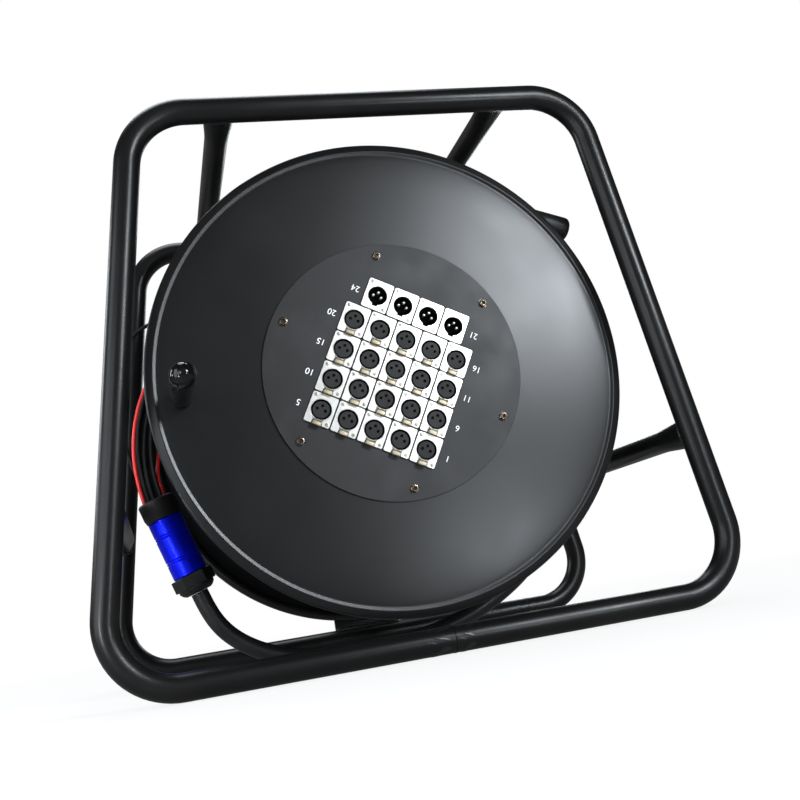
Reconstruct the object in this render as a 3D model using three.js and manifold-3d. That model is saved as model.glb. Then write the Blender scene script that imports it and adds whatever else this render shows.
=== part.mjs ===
// Stage box snake: a drum of multicore cable in a tubular stand, with 24 panel sockets on its front flange.
// Millimetres. X runs across the stand, Y from its front to its back and Z up from the floor.
// The origin lies on the floor, under the middle of the front loop's bottom tube.

import * as THREE from 'three';
import { mergeVertices } from 'three/addons/utils/BufferGeometryUtils.js';
import Module from 'manifold-3d';

const wasm = await Module();
wasm.setup();

// Clearances
const fitClearance = 0.3;
const cutOverrun = 2;

// Stand
const tubeDiameter = 24;
const standHeight = 536.5;
const topHalfWidth = 220;
const bottomHalfWidth = 298;
const bendRadius = 57;
const loopSpacing = 374;
const crossTubeDiameter = 23;
const topCrossOffset = 138;
const sideCrossHeight = 166;
const axlePlateWidth = 80;
const axlePlateThickness = 4;

// Drum
const drumAxisHeight = 268;
const drumSetback = 43;
const drumLength = 304;
const flangeDiameter = 470;
const flangeSheet = 3;
const rimBeadDiameter = 11;
const rimBeadProud = 1;
const flangeMouthDiameter = 210;
const barrelDiameter = 254;
const barrelWall = 3;
const woundDiameter = 414;

// Axle and its bush
const shaftDiameter = 25;
const axleThreadDiameter = 20;
const axleNutAcrossFlats = 30;
const axleShoulderDiameter = 40;
const axleHeadDiameter = 36;
const axleHeadThickness = 8;
const bushLength = 134;
const bushWall = 8;
const bushProud = 3;
const bushCollarDiameter = 90;
const bushCollarThickness = 6;

// Multicore cable
const cableDiameter = 17;
const windingTurns = 16;
const cablePlane = 143;

// Panel and its grid of sockets
const panelDiameter = 255;
const panelThickness = 2;
const gridTiltDegrees = 28.07;
const socketPitchAcross = 26.8;
const socketPitchUp = 31.7;
const femaleColumns = 5;
const femaleRows = 4;
const maleColumns = 4;

// Sockets
const plateWidth = 26;
const plateHeight = 31;
const plateThickness = 2;
const plateCorner = 1.2;
const socketBarrelDiameter = 23.5;
const socketBarrelLength = 20;
const femaleBoreDiameter = 19.7;
const femaleInsertDiameter = 17;
const femaleGrooveDepth = 1.4;
const insertSunk = 0.6;
const contactHoleDiameter = 2.8;
const contactHoleDepth = 1.4;
const contactReach = 4.05;
const maleBoreDiameter = 19;
const maleBoreDepth = 15;
const pinDiameter = 2.5;
const pinSunk = 1.5;
const keyWidth = 5.4;
const keyReach = 11;
const keyDepth = 9;

// Latch tabs of the female sockets
const latchWidth = 9.4;
const latchHeight = 5;
const latchOverhang = 0.4;
const latchProud = 4;
const latchLowProud = 1.6;
const latchPocketDepth = 2.5;

// Winding handle
const handleRadius = 203.5;
const handleDrop = 5;
const handleLength = 105;
const handleFootDiameter = 19;
const handleTipDiameter = 23.4;
const studDiameter = 10;
const studLength = 90;
const studFootDiameter = 17;
const studFootHeight = 1.5;

// Fan-out joint, where the multicore splits into its tails
const fanoutFootX = -204.8;
const fanoutFootZ = 90.6;
const fanoutLeanDegrees = -18.08;
const glandAcrossFlats = 36;
const glandHexLength = 12;
const glandDomeLength = 7;
const glandMouthDiameter = 27;
const sleeveDiameter = 34;
const sleeveLength = 60;
const sleeveGrooveDepth = 0.8;
const sleeveGrooveWidth = 1.6;
const sleeveGroovePitch = 2.6;
const capDiameter = 37.4;
const capLength = 20.6;
const capMouthDiameter = 29;
const capMouthDepth = 8;
const tailBundleDiameter = 24;

// Facets and shares
const tubeSides = 12;
const bendSteps = 6;
const drumSides = 40;
const barrelSides = 12;
const boreSides = 14;
const smallSides = 6;
const cableSides = 8;
const windingSides = 6;
const windingSteps = 20;
const beadSteps = 6;
const domeSteps = 5;
const handleSides = 18;
const fanoutSides = 18;
const grooveShares = [0.284, 0.722];
const handleTaperShare = 0.86;

// Places that follow from the sizes above
const tubeRadius = tubeDiameter / 2;
const drumFront = drumSetback;
const drumBack = drumSetback + drumLength;
const windingFront = drumFront + flangeSheet + fitClearance;
const windingBack = drumBack - flangeSheet - fitClearance;
const barrelRadius = barrelDiameter / 2;
const cableRadius = cableDiameter / 2;
const helixRadius = woundDiameter / 2 - cableRadius;
const windingFlat = cableRadius * Math.cos(Math.PI / windingSides);
const coreRadius = helixRadius * Math.cos(Math.PI / windingSteps) - windingFlat - fitClearance;
const envelopeSides = 2 * drumSides;
const windingEnvelope = turningBore(helixRadius + windingFlat, envelopeSides);
const panelFront = drumFront - fitClearance - panelThickness;
const plateBack = panelFront - fitClearance;
const axlePlateFront = loopSpacing - axlePlateThickness / 2;
const axlePlateBack = loopSpacing + axlePlateThickness / 2;
const bushBack = drumBack + bushProud;
const bushFront = bushBack - bushLength;
const bushBore = turningBore(shaftDiameter / 2, boreSides);
const bushOuter = bushBore + bushWall;

// The corner radius of a faceted bore whose flats clear a pin turning in it.
function turningBore(pinRadius, sides) {
  return (pinRadius + fitClearance) / Math.cos(Math.PI / sides);
}

function material(color, roughness, metalness) {
  return new THREE.MeshStandardMaterial({ color, roughness, metalness });
}

const paintedSteel = material(0x101011, 0.38, 0.1);
const panelPaint = material(0x2b2b2d, 0.55, 0.1);
const plainSteel = material(0x8d8d8f, 0.35, 1);
const bronze = material(0x8a6a3c, 0.4, 1);
const cableJacket = material(0x0d0d0e, 0.5, 0);
const nickel = material(0xe6e1d4, 0.3, 1);
const latchMetal = material(0xb9ae96, 0.35, 1);
const handlePlastic = material(0x0c0c0d, 0.15, 0);
const blueAnodised = material(0x0a1fd0, 0.25, 0.9);
const fittingPlastic = material(0x141415, 0.45, 0);

// Merges a geometry's shared corners, drops collapsed triangles and turns its faces outward.
function welded(geometry) {
  const source = geometry.clone();
  source.deleteAttribute('normal');
  source.deleteAttribute('uv');
  const merged = mergeVertices(source);
  const corners = merged.getAttribute('position').array;
  const triangles = [];
  let volume = 0;
  const [a, b, c] = [new THREE.Vector3(), new THREE.Vector3(), new THREE.Vector3()];
  for (let i = 0; i < merged.index.count; i += 3) {
    const [p, q, r] = [0, 1, 2].map((k) => merged.index.getX(i + k));
    if (p === q || q === r || r === p) continue;
    triangles.push(p, q, r);
    a.fromArray(corners, 3 * p);
    b.fromArray(corners, 3 * q);
    c.fromArray(corners, 3 * r);
    volume += a.dot(b.cross(c));
  }
  if (volume < 0) triangles.reverse();
  return { corners, triangles };
}

function toSolid(geometry) {
  const { corners, triangles } = welded(geometry);
  return new wasm.Manifold(new wasm.Mesh({
    numProp: 3,
    vertProperties: new Float32Array(corners),
    triVerts: new Uint32Array(triangles),
  }));
}

function geometryOf(corners, triangles) {
  const geometry = new THREE.BufferGeometry();
  geometry.setAttribute('position', new THREE.BufferAttribute(new Float32Array(corners), 3));
  geometry.setIndex(Array.from(triangles));
  geometry.computeVertexNormals();
  return geometry;
}

function fromSolid(solid) {
  const mesh = solid.getMesh();
  return geometryOf(mesh.vertProperties, mesh.triVerts);
}

function closedGeometry(geometry) {
  const { corners, triangles } = welded(geometry);
  return geometryOf(corners, triangles);
}

// Turns an outline of [radius, distance] points about the Y axis.
function revolved(outline, sides) {
  const points = outline.map(([radius, distance]) => new THREE.Vector2(radius, distance));
  if (outline[0][0] > 0) points.push(points[0].clone());
  return new THREE.LatheGeometry(points, sides);
}

function rod(radius, from, to, sides) {
  return revolved([[0, from], [radius, from], [radius, to], [0, to]], sides);
}

function ring(inner, outer, from, to, sides) {
  return revolved([[inner, from], [outer, from], [outer, to], [inner, to]], sides);
}

function movedSolid(geometry, x, y, z) {
  return toSolid(geometry.clone().translate(x, y, z));
}

// Lifts a piece turned about Y so that it stands along Z.
function upright(geometry) {
  return geometry.rotateX(Math.PI / 2);
}

function named(name, geometry, look) {
  const mesh = new THREE.Mesh(geometry, look);
  mesh.name = name;
  return mesh;
}

// Stand

// Stations of a loop of tube: its centre line with a bend at each corner, in the plane of the loop.
function loopStations() {
  const top = standHeight - tubeRadius;
  const corners = [
    [bottomHalfWidth, tubeRadius],
    [topHalfWidth, top],
    [-topHalfWidth, top],
    [-bottomHalfWidth, tubeRadius],
  ].map(([x, z]) => new THREE.Vector2(x, z));
  const stations = [];
  corners.forEach((corner, i) => {
    const before = corners[(i + 3) % 4];
    const after = corners[(i + 1) % 4];
    const incoming = corner.clone().sub(before).normalize();
    const outgoing = after.clone().sub(corner).normalize();
    const turn = Math.acos(incoming.dot(outgoing));
    const reach = bendRadius * Math.tan(turn / 2);
    const start = corner.clone().addScaledVector(incoming, -reach);
    const outward = new THREE.Vector2(incoming.y, -incoming.x);
    const centre = start.clone().addScaledVector(outward, -bendRadius);
    for (let step = 0; step <= bendSteps; step += 1) {
      const angle = (turn * step) / bendSteps;
      const normal = outward.clone().rotateAround(new THREE.Vector2(), angle);
      stations.push({ centre: centre.clone().addScaledVector(normal, bendRadius), normal });
    }
  });
  return stations;
}

// A closed tube round the loop, with a flat side facing out all the way so that it stands on one.
function loopTube(radius, depth) {
  const stations = loopStations();
  const cornerRadius = radius / Math.cos(Math.PI / tubeSides);
  const corners = [];
  const triangles = [];
  stations.forEach(({ centre, normal }, i) => {
    const next = (i + 1) % stations.length;
    for (let side = 0; side < tubeSides; side += 1) {
      const angle = ((side + 0.5) * 2 * Math.PI) / tubeSides;
      const corner = centre.clone().addScaledVector(normal, cornerRadius * Math.cos(angle));
      corners.push(corner.x, depth + cornerRadius * Math.sin(angle), corner.y);
      const beside = (side + 1) % tubeSides;
      const [a, b] = [i * tubeSides + side, i * tubeSides + beside];
      const [c, d] = [next * tubeSides + side, next * tubeSides + beside];
      triangles.push(a, c, b, b, c, d);
    }
  });
  return geometryOf(corners, triangles);
}

function sideTubeOffset(height) {
  const rise = (height - tubeRadius) / (standHeight - tubeDiameter);
  return bottomHalfWidth - (bottomHalfWidth - topHalfWidth) * rise;
}

function rearFrame() {
  const top = standHeight - tubeRadius;
  const side = sideTubeOffset(sideCrossHeight);
  const places = [
    [-topCrossOffset, top],
    [topCrossOffset, top],
    [-side, sideCrossHeight],
    [side, sideCrossHeight],
  ];
  const crossTube = rod(crossTubeDiameter / 2, 0, loopSpacing, tubeSides);
  const plate = new THREE.BoxGeometry(axlePlateWidth, axlePlateThickness, top - tubeRadius);
  const hole = rod(
    axleThreadDiameter / 2 + fitClearance,
    axlePlateFront - cutOverrun,
    axlePlateBack + cutOverrun,
    boreSides,
  );
  let solid = toSolid(loopTube(tubeRadius, loopSpacing));
  places.forEach(([x, z]) => {
    solid = solid.add(movedSolid(crossTube, x, 0, z));
  });
  solid = solid.add(movedSolid(plate, 0, loopSpacing, standHeight / 2));
  solid = solid.subtract(toSolid(loopTube(tubeRadius + fitClearance, 0)));
  return fromSolid(solid.subtract(movedSolid(hole, 0, 0, drumAxisHeight)));
}

const stand = new THREE.Group();
stand.add(named('front_loop', closedGeometry(loopTube(tubeRadius, 0)), paintedSteel));
stand.add(named('rear_frame', rearFrame(), paintedSteel));

// Axle, with its nut behind the plate

function axle() {
  const shaft = shaftDiameter / 2;
  const head = axleHeadDiameter / 2;
  const headBack = bushFront - fitClearance;
  const shoulder = axleShoulderDiameter / 2;
  const shoulderFront = bushBack + fitClearance;
  const shoulderBack = axlePlateFront - fitClearance;
  const thread = axleThreadDiameter / 2;
  const end = loopSpacing + tubeRadius;
  const nutFront = axlePlateBack + fitClearance;
  const nutRadius = axleNutAcrossFlats / 2 / Math.cos(Math.PI / 6);
  const body = revolved([
    [0, headBack - axleHeadThickness],
    [head, headBack - axleHeadThickness],
    [head, headBack],
    [shaft, headBack],
    [shaft, shoulderFront],
    [shoulder, shoulderFront],
    [shoulder, shoulderBack],
    [thread, shoulderBack],
    [thread, end],
    [0, end],
  ], boreSides);
  const nut = rod(nutRadius, nutFront, end, 6);
  return fromSolid(toSolid(body).add(toSolid(nut)));
}

// Drum: everything that turns on the axle

// The outline of a flange from its mouth to its rolled rim, front face first.
function flangeOutline(mouthRadius) {
  const bead = rimBeadDiameter / 2;
  const beadCentre = flangeDiameter / 2 - bead;
  const beadDepth = bead - rimBeadProud;
  const frontAngle = Math.asin(beadDepth / bead);
  const backAngle = Math.asin((flangeSheet - beadDepth) / bead);
  const sweep = 2 * Math.PI - frontAngle - backAngle;
  const outline = [[mouthRadius, 0]];
  for (let step = 0; step <= beadSteps; step += 1) {
    const angle = Math.PI + frontAngle + (sweep * step) / beadSteps;
    outline.push([beadCentre + bead * Math.cos(angle), beadDepth + bead * Math.sin(angle)]);
  }
  outline.push([mouthRadius, flangeSheet]);
  return outline;
}

function frontFlange() {
  const outline = flangeOutline(flangeMouthDiameter / 2);
  const disc = revolved(outline.map(([r, y]) => [r, drumFront + y]), drumSides);
  const stud = revolved([
    [0, drumFront - studLength],
    [studDiameter / 2, drumFront - studLength],
    [studDiameter / 2, drumFront - studFootHeight],
    [studFootDiameter / 2, drumFront - studFootHeight],
    [studFootDiameter / 2, drumFront + flangeSheet / 2],
    [0, drumFront + flangeSheet / 2],
  ], boreSides);
  return fromSolid(toSolid(disc).add(movedSolid(stud, -handleRadius, 0, -handleDrop)));
}

function rearFlange() {
  return revolved(flangeOutline(bushOuter + fitClearance).map(([r, y]) => [r, drumBack - y]), drumSides);
}

function hubBush() {
  const collar = bushCollarDiameter / 2;
  return revolved([
    [bushBore, bushFront],
    [bushOuter, bushFront],
    [bushOuter, windingBack - bushCollarThickness],
    [collar, windingBack - bushCollarThickness],
    [collar, windingBack],
    [bushOuter, windingBack],
    [bushOuter, bushBack],
    [bushBore, bushBack],
  ], boreSides);
}

// Rings of points along the outer layer of cable, one unbroken helix with a straight run at each end.
function windingRings() {
  const first = windingFront + cableRadius + fitClearance;
  const last = windingBack - cableRadius - fitClearance;
  const steps = windingTurns * windingSteps;
  const rings = [];
  const addRing = (angle, depth, along) => {
    const out = new THREE.Vector3(Math.cos(angle), 0, Math.sin(angle));
    const run = new THREE.Vector3(-Math.sin(angle), 0, Math.cos(angle));
    const centre = out.clone().multiplyScalar(helixRadius).addScaledVector(run, along);
    const points = [];
    for (let side = 0; side < windingSides; side += 1) {
      const turn = (2 * Math.PI * side) / windingSides;
      const point = centre.clone().addScaledVector(out, cableRadius * Math.sin(turn));
      point.y = depth + cableRadius * Math.cos(turn);
      points.push(point);
    }
    rings.push(points);
  };
  addRing(0, first, -cableDiameter);
  for (let step = 0; step <= steps; step += 1) {
    addRing((2 * Math.PI * step) / windingSteps, first + ((last - first) * step) / steps, 0);
  }
  addRing(2 * Math.PI * windingTurns, last, cableDiameter);
  return rings;
}

// The least gap between turns of the helix, from each ring's points to those of the turns beside it.
function leastGap(rings) {
  let least = Infinity;
  for (let i = 0; i < rings.length; i += 1) {
    for (let j = i + windingSteps / 2; j < Math.min(rings.length, i + 2 * windingSteps); j += 1) {
      rings[i].forEach((p) => rings[j].forEach((q) => {
        least = Math.min(least, p.distanceTo(q));
      }));
    }
  }
  return least;
}

function cableWinding() {
  const rings = windingRings();
  console.log(`least gap between turns of cable_winding: ${leastGap(rings).toFixed(2)} mm`);
  const corners = rings.flat().flatMap((point) => point.toArray());
  const triangles = [];
  for (let i = 0; i + 1 < rings.length; i += 1) {
    for (let side = 0; side < windingSides; side += 1) {
      const beside = (side + 1) % windingSides;
      const [a, b] = [i * windingSides + side, i * windingSides + beside];
      triangles.push(a, b, a + windingSides, b, b + windingSides, a + windingSides);
    }
  }
  const end = (rings.length - 1) * windingSides;
  for (let side = 1; side + 1 < windingSides; side += 1) {
    triangles.push(0, side + 1, side, end, end + side, end + side + 1);
  }
  return closedGeometry(geometryOf(corners, triangles));
}

const drum = new THREE.Group();
drum.position.z = drumAxisHeight;
drum.add(named('axle', axle(), plainSteel));
drum.add(named('hub_bush', closedGeometry(hubBush()), bronze));
drum.add(named('front_flange', frontFlange(), paintedSteel));
drum.add(named('rear_flange', closedGeometry(rearFlange()), paintedSteel));
drum.add(named(
  'drum_barrel',
  closedGeometry(ring(barrelRadius - barrelWall, barrelRadius, windingFront, windingBack, drumSides)),
  paintedSteel,
));
drum.add(named(
  'cable_layers',
  closedGeometry(ring(barrelRadius + fitClearance, coreRadius, windingFront, windingBack, drumSides)),
  cableJacket,
));
drum.add(named('cable_winding', cableWinding(), cableJacket));

// Winding handle, which turns on the stud of the front flange

function handle() {
  const foot = drumFront - studFootHeight - fitClearance;
  const bore = turningBore(studDiameter / 2, handleSides);
  const boreEnd = drumFront - studLength - fitClearance;
  const tipRadius = handleTipDiameter / 2;
  const tip = foot - handleLength;
  const shoulder = foot - handleLength * handleTaperShare;
  const outline = [[bore, boreEnd], [bore, foot], [handleFootDiameter / 2, foot], [tipRadius, shoulder]];
  for (let step = 1; step <= domeSteps; step += 1) {
    const angle = (Math.PI / 2) * (step / domeSteps);
    const radius = step === domeSteps ? 0 : tipRadius * Math.cos(angle);
    outline.push([radius, shoulder + (tip - shoulder) * Math.sin(angle)]);
  }
  return revolved([[0, boreEnd], ...outline], handleSides);
}

const handleMesh = named('crank_knob', closedGeometry(handle()), handlePlastic);
handleMesh.position.set(-handleRadius, 0, -handleDrop);
drum.add(handleMesh);

// Panel and sockets, in a group turned with the grid

const grid = new THREE.Group();
grid.rotation.y = THREE.MathUtils.degToRad(gridTiltDegrees);
drum.add(grid);

// Places of the sockets on the grid, numbered from the bottom row up, each row from right to left.
function socketPlaces() {
  const places = [];
  for (let row = 0; row <= femaleRows; row += 1) {
    const male = row === femaleRows;
    const columns = male ? maleColumns : femaleColumns;
    for (let column = 0; column < columns; column += 1) {
      places.push({
        x: socketPitchAcross * ((columns - 1) / 2 - column),
        z: socketPitchUp * (row - femaleRows / 2),
        male,
      });
    }
  }
  return places;
}

function panelDisc(places) {
  const holeRadius = socketBarrelDiameter / 2 + fitClearance;
  const hole = rod(holeRadius, panelFront - cutOverrun, drumFront + cutOverrun, barrelSides);
  let solid = toSolid(rod(panelDiameter / 2, panelFront, panelFront + panelThickness, drumSides));
  places.forEach(({ x, z }) => {
    solid = solid.subtract(movedSolid(hole, x, 0, z));
  });
  return fromSolid(solid);
}

// A flange plate with cut corners on a barrel; its back lies at y = 0 and its face toward -Y.
function socketBlank() {
  const x = plateWidth / 2;
  const z = plateHeight / 2;
  const outline = new THREE.Shape([
    [-x + plateCorner, -z], [x - plateCorner, -z], [x, -z + plateCorner], [x, z - plateCorner],
    [x - plateCorner, z], [-x + plateCorner, z], [-x, z - plateCorner], [-x, -z + plateCorner],
  ].map(([across, up]) => new THREE.Vector2(across, up)));
  const plate = new THREE.ExtrudeGeometry(outline, { depth: plateThickness, bevelEnabled: false });
  const barrel = rod(socketBarrelDiameter / 2, -plateThickness / 2, socketBarrelLength, barrelSides);
  return toSolid(upright(plate)).add(toSolid(barrel));
}

// Three contacts: two side by side on the centre line and one above them.
const contactPlaces = [[-contactReach, 0], [contactReach, 0], [0, contactReach]];

function femaleSocket() {
  const face = -plateThickness;
  const bore = femaleBoreDiameter / 2;
  const insert = femaleInsertDiameter / 2;
  const floor = face + femaleGrooveDepth;
  const groove = revolved([
    [0, face - cutOverrun],
    [bore, face - cutOverrun],
    [bore, floor],
    [insert, floor],
    [insert, face + insertSunk],
    [0, face + insertSunk],
  ], boreSides);
  const hole = rod(contactHoleDiameter / 2, face - cutOverrun, face + contactHoleDepth, smallSides);
  const notchWidth = latchWidth + 2 * fitClearance;
  const notchHeight = latchHeight - latchOverhang + fitClearance;
  const notch = new THREE.BoxGeometry(notchWidth, latchPocketDepth + cutOverrun, notchHeight + cutOverrun);
  const notchCentre = -plateHeight / 2 + (notchHeight - cutOverrun) / 2;
  let solid = socketBlank().subtract(toSolid(groove));
  solid = solid.subtract(movedSolid(notch, 0, face + (latchPocketDepth - cutOverrun) / 2, notchCentre));
  contactPlaces.forEach(([x, z]) => {
    solid = solid.subtract(movedSolid(hole, x, 0, z));
  });
  return fromSolid(solid);
}

function maleSocket() {
  const face = -plateThickness;
  const floor = face + maleBoreDepth;
  const recess = rod(maleBoreDiameter / 2, face - cutOverrun, floor, boreSides);
  const key = new THREE.BoxGeometry(keyWidth, keyDepth + cutOverrun, keyReach);
  const pin = rod(pinDiameter / 2, face + pinSunk, floor + cutOverrun, smallSides);
  let solid = socketBlank().subtract(toSolid(recess));
  solid = solid.subtract(movedSolid(key, 0, face + (keyDepth - cutOverrun) / 2, -keyReach / 2));
  contactPlaces.forEach(([x, z]) => {
    solid = solid.add(movedSolid(pin, x, 0, z));
  });
  return fromSolid(solid);
}

// A wedge to press, low beside the bore and tall at the plate's edge.
function latch() {
  const edge = -plateHeight / 2 - latchOverhang;
  const back = -plateThickness + fitClearance;
  const outline = new THREE.Shape([
    [edge, -back],
    [edge + latchHeight, -back],
    [edge + latchHeight, plateThickness + latchLowProud],
    [edge + latchHeight / 2, plateThickness + latchProud],
    [edge, plateThickness + latchProud],
  ].map(([up, out]) => new THREE.Vector2(up, out)));
  const wedge = new THREE.ExtrudeGeometry(outline, { depth: latchWidth, bevelEnabled: false });
  wedge.translate(0, 0, -latchWidth / 2);
  const axes = new THREE.Matrix4().makeBasis(
    new THREE.Vector3(0, 0, 1),
    new THREE.Vector3(0, -1, 0),
    new THREE.Vector3(1, 0, 0),
  );
  return closedGeometry(wedge.applyMatrix4(axes));
}

const places = socketPlaces();
grid.add(named('panel_disc', panelDisc(places), panelPaint));
const femaleShape = femaleSocket();
const maleShape = maleSocket();
const latchShape = latch();
places.forEach(({ x, z, male }, i) => {
  const number = String(i + 1).padStart(2, '0');
  const socket = named(`socket_${number}`, male ? maleShape : femaleShape, nickel);
  socket.position.set(x, plateBack, z);
  grid.add(socket);
  if (male) return;
  const tab = named(`latch_${number}`, latchShape, latchMetal);
  tab.position.set(x, plateBack, z);
  grid.add(tab);
});

// Fan-out joint: gland nut, sleeve and cap, in a group that leans with the cable

const fanout = new THREE.Group();
fanout.position.set(fanoutFootX, cablePlane, fanoutFootZ);
fanout.rotation.y = THREE.MathUtils.degToRad(fanoutLeanDegrees);

const sleeveFoot = glandDomeLength + glandHexLength + fitClearance;
const sleeveTop = sleeveFoot + sleeveLength;
const capFoot = sleeveTop + fitClearance;
const capTop = capFoot + capLength;

function glandNut() {
  const hexRadius = glandAcrossFlats / 2 / Math.cos(Math.PI / 6);
  const dome = revolved([
    [0, 0],
    [glandMouthDiameter / 2, 0],
    [glandAcrossFlats / 2, glandDomeLength],
    [glandAcrossFlats / 2, glandDomeLength + glandHexLength / 2],
    [0, glandDomeLength + glandHexLength / 2],
  ], fanoutSides);
  const hex = rod(hexRadius, glandDomeLength, glandDomeLength + glandHexLength, 6);
  return upright(fromSolid(toSolid(dome).add(toSolid(hex))));
}

function sleeve() {
  const radius = sleeveDiameter / 2;
  const outline = [[0, sleeveFoot], [radius, sleeveFoot]];
  grooveShares.forEach((share) => {
    [-1, 1].forEach((side) => {
      const middle = sleeveFoot + sleeveLength * share + (side * sleeveGroovePitch) / 2;
      outline.push([radius, middle - sleeveGrooveWidth / 2]);
      outline.push([radius - sleeveGrooveDepth, middle]);
      outline.push([radius, middle + sleeveGrooveWidth / 2]);
    });
  });
  outline.push([radius, sleeveTop], [0, sleeveTop]);
  return upright(revolved(outline, fanoutSides));
}

function cap() {
  const radius = capDiameter / 2;
  const mouth = capMouthDiameter / 2;
  const lip = (radius - mouth) / 2;
  return upright(revolved([
    [0, capFoot],
    [sleeveDiameter / 2, capFoot],
    [radius, capFoot + lip],
    [radius, capTop - lip],
    [radius - lip, capTop],
    [mouth, capTop - lip],
    [mouth, capTop - capMouthDepth],
    [0, capTop - capMouthDepth],
  ], fanoutSides));
}

fanout.add(named('gland_nut', glandNut(), fittingPlastic));
fanout.add(named('fanout_sleeve', closedGeometry(sleeve()), blueAnodised));
fanout.add(named('fanout_cap', closedGeometry(cap()), fittingPlastic));

// Free cables. Their routes are points beside the drum, as [x, y, z] from the middle of its axis at y = 0.

const multicoreRoute = [
  [-197.5, 143, -199.5], [-187, 143, -218], [-165, 143, -236.5], [-143, 143, -248],
  [-115, 143, -255.5], [-85, 143, -258.8], [-50, 143, -259.2], [-15, 143, -259],
  [20, 143, -256.5], [50, 143, -250.5], [77, 143, -240.5], [105, 143, -225.5],
  [132, 143, -206], [155, 143, -182], [171, 143, -155], [180, 143, -126],
  [182, 143, -98], [178, 143, -72],
];

const tailRoute = [
  [-239.5, 143, -62], [-241, 143, -38], [-238, 143, -10], [-229, 143, 20],
  [-213, 143, 49], [-193, 143, 73], [-170, 143, 90],
];

// A plain tube along a route, from a start on the fan-out's axis to where it dives into the winding.
function freeCable(route, start, lead, diameter, steps) {
  const origin = new THREE.Vector3(0, 0, drumAxisHeight);
  const onAxis = (height) => fanout.localToWorld(new THREE.Vector3(0, 0, height)).sub(origin);
  const points = [onAxis(start), onAxis(start + lead), ...route.map((p) => new THREE.Vector3(...p))];
  const radius = diameter / 2;
  const section = [];
  for (let side = 0; side < cableSides; side += 1) {
    const angle = (2 * Math.PI * side) / cableSides;
    section.push(new THREE.Vector2(radius * Math.cos(angle), radius * Math.sin(angle)));
  }
  const tube = new THREE.ExtrudeGeometry(new THREE.Shape(section), {
    steps,
    extrudePath: new THREE.CatmullRomCurve3(points, false, 'centripetal'),
    bevelEnabled: false,
  });
  const wound = rod(windingEnvelope, drumFront, drumBack, envelopeSides);
  return fromSolid(toSolid(tube).subtract(toSolid(wound)));
}

fanout.updateMatrixWorld(true);
const multicoreSteps = 38;
const tailSteps = 14;
drum.add(named(
  'multicore_cable',
  freeCable(multicoreRoute, -fitClearance, -cableRadius, cableDiameter, multicoreSteps),
  cableJacket,
));
drum.add(named(
  'tail_bundle',
  freeCable(tailRoute, capTop - capMouthDepth + fitClearance, capMouthDepth, tailBundleDiameter, tailSteps),
  cableJacket,
));

const stageBoxSnake = new THREE.Group();
stageBoxSnake.add(stand, drum, fanout);

export default stageBoxSnake;
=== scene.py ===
import math

import bmesh
import bpy
from mathutils import Matrix, Vector


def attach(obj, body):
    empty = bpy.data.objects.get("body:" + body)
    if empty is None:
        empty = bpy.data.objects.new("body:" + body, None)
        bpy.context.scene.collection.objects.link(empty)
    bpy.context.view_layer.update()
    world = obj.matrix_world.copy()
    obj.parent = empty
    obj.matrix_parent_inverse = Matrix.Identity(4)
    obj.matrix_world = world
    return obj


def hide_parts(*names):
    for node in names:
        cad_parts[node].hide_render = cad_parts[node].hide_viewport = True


# Stage box snake: the looks of a drum of multicore cable in a tubular stand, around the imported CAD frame.
# Shapes are drawn in millimetres and become metres when their piece is made.
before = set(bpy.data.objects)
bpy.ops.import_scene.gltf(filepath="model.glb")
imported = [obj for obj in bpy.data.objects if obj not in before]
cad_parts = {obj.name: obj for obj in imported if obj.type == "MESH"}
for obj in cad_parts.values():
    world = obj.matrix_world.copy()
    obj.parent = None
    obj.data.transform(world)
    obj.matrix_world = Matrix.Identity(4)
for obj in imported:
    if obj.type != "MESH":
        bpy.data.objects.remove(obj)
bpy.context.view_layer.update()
scene = bpy.context.scene
MM = 0.001
FULL_TURN = 2 * math.pi

# Driving sizes of the CAD source, in millimetres. The gap parts pieces that touch.
GAP = 0.3
AXIS_HEIGHT = 268
DRUM_FRONT, DRUM_BACK, SHEET = 43, 347, 3
LOOP_SPACING = 374
TUBE_RADIUS, CROSS_RADIUS = 12, 11.5
STAND_HEIGHT, TOP_HALF_WIDTH, BOTTOM_HALF_WIDTH, BEND_RADIUS = 536.5, 220, 298, 57
PANEL_THICKNESS = 2
WINDING_ENVELOPE = 206.3
CABLE_DIAMETER, TAIL_DIAMETER = 17, 3.8
CABLE_PLANE = 143

# Depths that follow from them.
WINDING_FRONT = DRUM_FRONT + SHEET + GAP
WINDING_BACK = DRUM_BACK - SHEET - GAP
PANEL_FRONT = DRUM_FRONT - GAP - PANEL_THICKNESS
PLATE_BACK = PANEL_FRONT - GAP

# Places that shapes drawn along Z, or on the panel's grid, are brought to.
AXIS = Matrix.Translation((0, 0, AXIS_HEIGHT))
ALONG_Y = Matrix.Rotation(-math.pi / 2, 4, "X")
FACING_FRONT = Matrix.Rotation(math.pi / 2, 4, "X")
DRUM = AXIS @ ALONG_Y
GRID_TURN, FANOUT_TILT = math.radians(28.07), math.radians(-18.08)
GRID = AXIS @ Matrix.Rotation(GRID_TURN, 4, "Y")
FANOUT_FOOT = (-204.8, CABLE_PLANE, 90.6)
FANOUT = Matrix.Translation(FANOUT_FOOT) @ Matrix.Rotation(FANOUT_TILT, 4, "Y")
HANDLE_X, HANDLE_DROP = -203.5, 5
HANDLE = Matrix.Translation((HANDLE_X, 0, AXIS_HEIGHT - HANDLE_DROP)) @ ALONG_Y


def linked(name, data, place=Matrix()):
    """A new object of the scene, with its data and its place in metres."""
    made = bpy.data.objects.new(name, data)
    made.matrix_world = place
    scene.collection.objects.link(made)
    return made


# Camera, as matched to the photo: its place in metres and the three ways that it faces

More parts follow.
